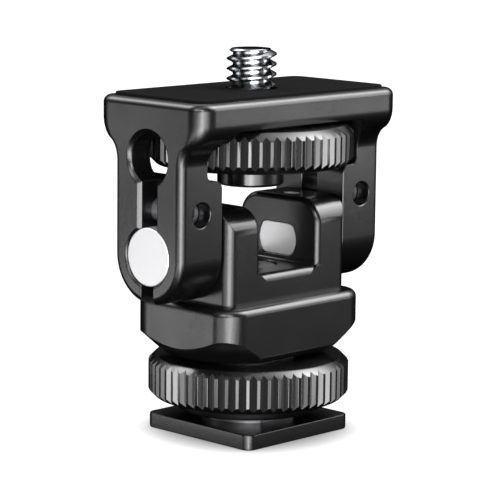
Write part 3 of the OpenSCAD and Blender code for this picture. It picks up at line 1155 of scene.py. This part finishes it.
    def tension_screw(self, side: int) -> Solid:
        """A tension screw across an arm.

        Args:
            side: -1 for left, 1 for right.

        Returns:
            The screw.
        """
        screw = Solid.rod(1.45, -4.0, 4.5, Axis.Y, 48)
        screw.rounded(lambda a, b: max(a.y, b.y) < -3.9, 0.15, 2, 40.0)
        screw.cut(Solid.rod(0.87, -5.0, -2.6, Axis.Y, 6))
        return screw.moved(side * self.arm_middle, 0, self.tension_z)

    def build(self, shop: Workshop) -> None:
        """Make and dress the pieces."""
        shop.dress(self.body().piece("yoke_body"), ANODISED, "yoke", "yoke_frame")
        shop.dress(self.pad().piece("plate_pad"), PAD, "yoke", "top_pad")
        for side, word in ((-1, "left"), (1, "right")):
            shop.dress(self.tension_screw(side).piece(f"tension_{word}_screw"), SCREW,
                       f"tension_{word}",
                       f"tension_screw_{word}")


@dataclass
class Thumb:
    """The thumb wheel with its hub and threaded stud."""

    wheel: Knurl = field(default_factory=lambda: Knurl(
        radius=13.05, low=34.45, high=39.65, bore=3.02, bevel=1.03, phase=2.0))
    hub_radius: float = 4.24
    hub_low: float = 31.77
    stud: float = 3.175
    stud_top: float = 49.0
    stud_low: float = 32.82
    pitch: float = 1.27

    def hub(self) -> Solid:
        """The hub below the wheel."""
        return Solid.turned([(0, self.hub_low, 0), (self.hub_radius, self.hub_low, 0.35),
                             (self.hub_radius, self.wheel.low, 0), (0, self.wheel.low, 0)], 96, 4)

    def screw(self) -> Solid:
        """The stud: a plain shank below the pad and a real helix above it."""
        depth = 0.6134 * self.pitch
        core = self.stud - depth
        start = 43.0 + 0.39 - 1.27
        coil = Solid()
        base, crest = self.pitch * 0.42, self.pitch * 0.08
        coil.outline([(core - 0.15, start - base - 0.06, 0), (self.stud, start - crest, 0),
                      (self.stud, start + crest, 0),
                      (core - 0.15, start + base + 0.06, 0)], Axis.Y, 0.0)
        turns = (self.stud_top - start) / self.pitch + 0.6
        per_turn = 48
        steps = int(turns * per_turn)
        bmesh.ops.spin(coil.bm, geom=list(coil.bm.faces), cent=(0, 0, 0), axis=(0, 0, 1),
                       dvec=(0, 0, self.pitch / per_turn), angle=math.tau * steps / per_turn,
                       steps=steps)
        coil.tidy()
        thread = Solid.rod(core, 42.0, self.stud_top + 1, Axis.Z, 96).add(coil)
        top = self.stud_top
        thread.keep(Solid.turned([(0, 43.3, 0), (self.stud + 0.01, 43.3, 0),
                                  (self.stud + 0.01, top - 0.62, 0),
                                  (self.stud - 0.62, top, 0.05), (0, top, 0)], 96, 2))
        shank = Solid.rod(3.0, self.stud_low, 42.85, Axis.Z)
        neck = Solid.rod(2.45, 42.0, 43.9, Axis.Z)
        return shank.add(neck, thread)

    def build(self, shop: Workshop) -> None:
        """Make and dress the pieces."""
        shop.dress(self.wheel.solid().piece("thumb_wheel_knurled", 24.0), KNURLED, "thumb",
                   "thumb_wheel")
        shop.dress(self.hub().piece("hub"), KNURLED, "thumb", "wheel_hub")
        shop.dress(self.screw().piece("stud", 50.0), BRIGHT, "thumb", "stud_screw")


# ---------------------------------------------------------------- studio


def direction(bearing: float, height: float) -> Vector:
    """The unit vector towards a bearing and a height.

    Args:
        bearing: The angle round Z in degrees, from the front to the right.
        height: The angle above the floor in degrees.

    Returns:
        The unit vector.
    """
    a, e = math.radians(bearing), math.radians(height)
    return Vector((math.sin(a) * math.cos(e), -math.cos(a) * math.cos(e), math.sin(e)))


@dataclass(frozen=True)
class Softbox:
    """A rectangular lamp that looks at the object."""

    name: str
    bearing: float
    height: float
    away: float
    size: tuple[float, float]
    power: float
    aim: float = 0.025

    def light(self) -> None:
        """Set the lamp up."""
        lamp = bpy.data.lights.new(self.name, "AREA")
        lamp.shape = "RECTANGLE"
        lamp.size, lamp.size_y = self.size
        lamp.energy = self.power
        made = show(self.name, lamp)
        goal = Vector((0, 0, self.aim))
        made.location = goal + self.away * direction(self.bearing, self.height)
        made.rotation_euler = (made.location - goal).to_track_quat("Z", "Y").to_euler()


@dataclass(frozen=True)
class Glow:
    """A soft patch of light in the room round the object."""

    bearing: float
    height: float
    strength: float
    width: float = 11.0

    def level(self, tree: bpy.types.NodeTree, look: bpy.types.NodeSocket) -> bpy.types.NodeSocket:
        """Work out the patch's light for each direction.

        Args:
            tree: The world's node tree.
            look: The direction that a ray looks in.

        Returns:
            The socket with the patch's strength.
        """
        sides = {0: look, 1: direction(self.bearing, self.height)}
        dot = add_node(tree, "VectorMath", sides, operation="DOT_PRODUCT")
        steep = 1 / math.radians(self.width) ** 2
        fall = math_node(tree, "SUBTRACT",
                         math_node(tree, "MULTIPLY", dot.outputs["Value"], steep), steep)
        return math_node(tree, "MULTIPLY", math_node(tree, "EXPONENT", fall), self.strength)


@dataclass(frozen=True)
class Studio:
    """Camera, floor, sky and lamps."""

    lens: float = 172.15
    place: tuple[float, float, float] = (-214.538, -209.976, 73.190)
    bearing: float = -45.6017
    height: float = 9.4335
    roll: float = 0.6426
    floor_size: float = 3.0
    floor_light: float = 1.22
    # how far the painted contact shadow on the floor reaches from the object
    painted_shadow_reach: float = 0.006
    backdrop: float = 1.05
    lamps: tuple[Softbox, ...] = (
        Softbox("key_front", -45.0, 25.0, 0.20, (0.05, 0.05), 0.15, 0.03),
        Softbox("low_front", -45.0, 2.0, 0.20, (0.05, 0.05), 0.06, 0.02),
        Softbox("low_left", -60.0, -10.0, 0.20, (0.04, 0.06), 0.065, 0.03),
        Softbox("side_right", 45.0, 15.0, 0.15, (0.06, 0.06), 0.06, 0.045),
        Softbox("strip_right", 45.0, -9.0, 0.15, (0.05, 0.02), 0.012, 0.049),
        Softbox("strip_left", -135.0, -9.0, 0.15, (0.05, 0.02), 0.005, 0.049),
        Softbox("bounce_left", -128.0, -9.0, 0.15, (0.05, 0.02), 0.014, 0.012),
        Softbox("bounce_middle", -92.0, -9.0, 0.15, (0.06, 0.02), 0.018, 0.012),
    )
    glows: tuple[Glow, ...] = (
        Glow(-45.0, -15.0, 18.0, 8.0),
        Glow(-75.0, -15.0, 5.5, 8.0),
        Glow(-30.0, 0.0, 10.0, 8.0),
        Glow(-15.0, -5.0, 6.0, 8.0),
        Glow(-45.0, -30.0, 3.0, 8.0),
        Glow(-75.0, 30.0, 12.0, 8.0),
        Glow(45.0, 5.0, 1.0),
        Glow(22.5, -9.0, 0.3),
        Glow(-135.0, -9.0, 1.0),
        Glow(45.0, 47.0, 15.0),
        Glow(67.5, 47.0, 10.0),
        Glow(67.5, 28.0, 2.5),
        Glow(-157.5, 47.0, 11.0),
        Glow(45.0, 70.0, 3.5),
        Glow(-45.0, 70.0, 2.0),
        Glow(-67.5, 47.0, 2.0),
        Glow(135.0, 55.0, 2.0, 14.0),
    )

    def camera(self) -> None:
        """Place the camera at the matched viewpoint."""
        a, roll = math.radians(self.bearing), math.radians(self.roll)
        back = direction(self.bearing, self.height)
        side = Vector((math.cos(a), math.sin(a), 0.0))
        up = back.cross(side)
        right = math.cos(roll) * side + math.sin(roll) * up
        top = -math.sin(roll) * side + math.cos(roll) * up
        data = bpy.data.cameras.new("camera")
        data.lens = self.lens
        data.sensor_width = 36.0
        data.clip_start = 0.01
        data.clip_end = 20.0
        made = show("camera", data)
        turn = Matrix((right, top, back)).transposed()
        made.matrix_world = Matrix.Translation(Vector(self.place) * MM) @ turn.to_4x4()
        bpy.context.scene.camera = made

    def floor(self) -> None:
        """A pale floor that the object stands on: it glows white, darkened near the foot by
        ambient occlusion, a painted contact shadow.
        """
        ground = Solid()
        bmesh.ops.create_grid(ground.bm, x_segments=1, y_segments=1, size=self.floor_size)
        mesh = ground.mesh("floor")
        ground.bm.free()
        made = bpy.data.materials.new("pale_floor")
        made.use_nodes = True
        tree = made.node_tree
        tree.nodes.clear()
        # painted contact shadow: ambient occlusion dims the floor's glow near the foot, as the
        # object casts no real shadow on this glowing floor
        shade = add_node(tree, "AmbientOcclusion", {"Distance": self.painted_shadow_reach}, samples=16)
        level = math_node(tree, "MULTIPLY", shade.outputs["AO"], self.floor_light)
        pale = add_node(tree, "Emission", {"Color": WHITE, "Strength": level})
        add_node(tree, "OutputMaterial", {"Surface": pale.outputs[0]})
        mesh.materials.append(made)
        floor = show("floor", mesh)
        floor.visible_glossy = floor.visible_diffuse = floor.visible_shadow = False

    def sky(self) -> None:
        """White behind the object, a dim room in its reflections."""
        world = bpy.data.worlds.new("studio")
        world.use_nodes = True
        tree = world.node_tree
        tree.nodes.clear()
        look = add_node(tree, "TexCoord", {}).outputs["Generated"]
        total = self.glows[0].level(tree, look)
        for glow in self.glows[1:]:
            total = math_node(tree, "ADD", total, glow.level(tree, look))
        room, white = (add_node(tree, "Background",
                                {"Color": WHITE, "Strength": strength}).outputs[0]
                       for strength in (total, self.backdrop))
        seen = add_node(tree, "LightPath", {}).outputs["Is Camera Ray"]
        mix = add_node(tree, "MixShader", {"Fac": seen, 1: room, 2: white})
        add_node(tree, "OutputWorld", {"Surface": mix.outputs[0]})
        bpy.context.scene.world = world

    def build(self) -> None:
        """Set up the whole studio."""
        self.camera()
        self.floor()
        self.sky()
        for lamp in self.lamps:
            lamp.light()
        view = bpy.context.scene.view_settings
        view.view_transform = "Standard"
        view.look = "None"
        view.exposure = 0.0
        view.gamma = 1.0


def main() -> None:
    """Build the studio and every sub-assembly in order."""
    logging.basicConfig(level=logging.INFO, format="%(message)s")
    Studio().build()
    shop = Workshop()
    for part in (Foot(), Base(), Yoke(), Thumb()):
        part.build(shop)
        log.info("%s done", type(part).__name__.lower())
    for node, finish in (("swivel_washer", NYLON), ("cone_spring", STEEL), ("stud_clip", STEEL),
                         ("wheel_washer", NYLON)):
        shop.repaint(node, finish)


if __name__ == "__main__":
    main()
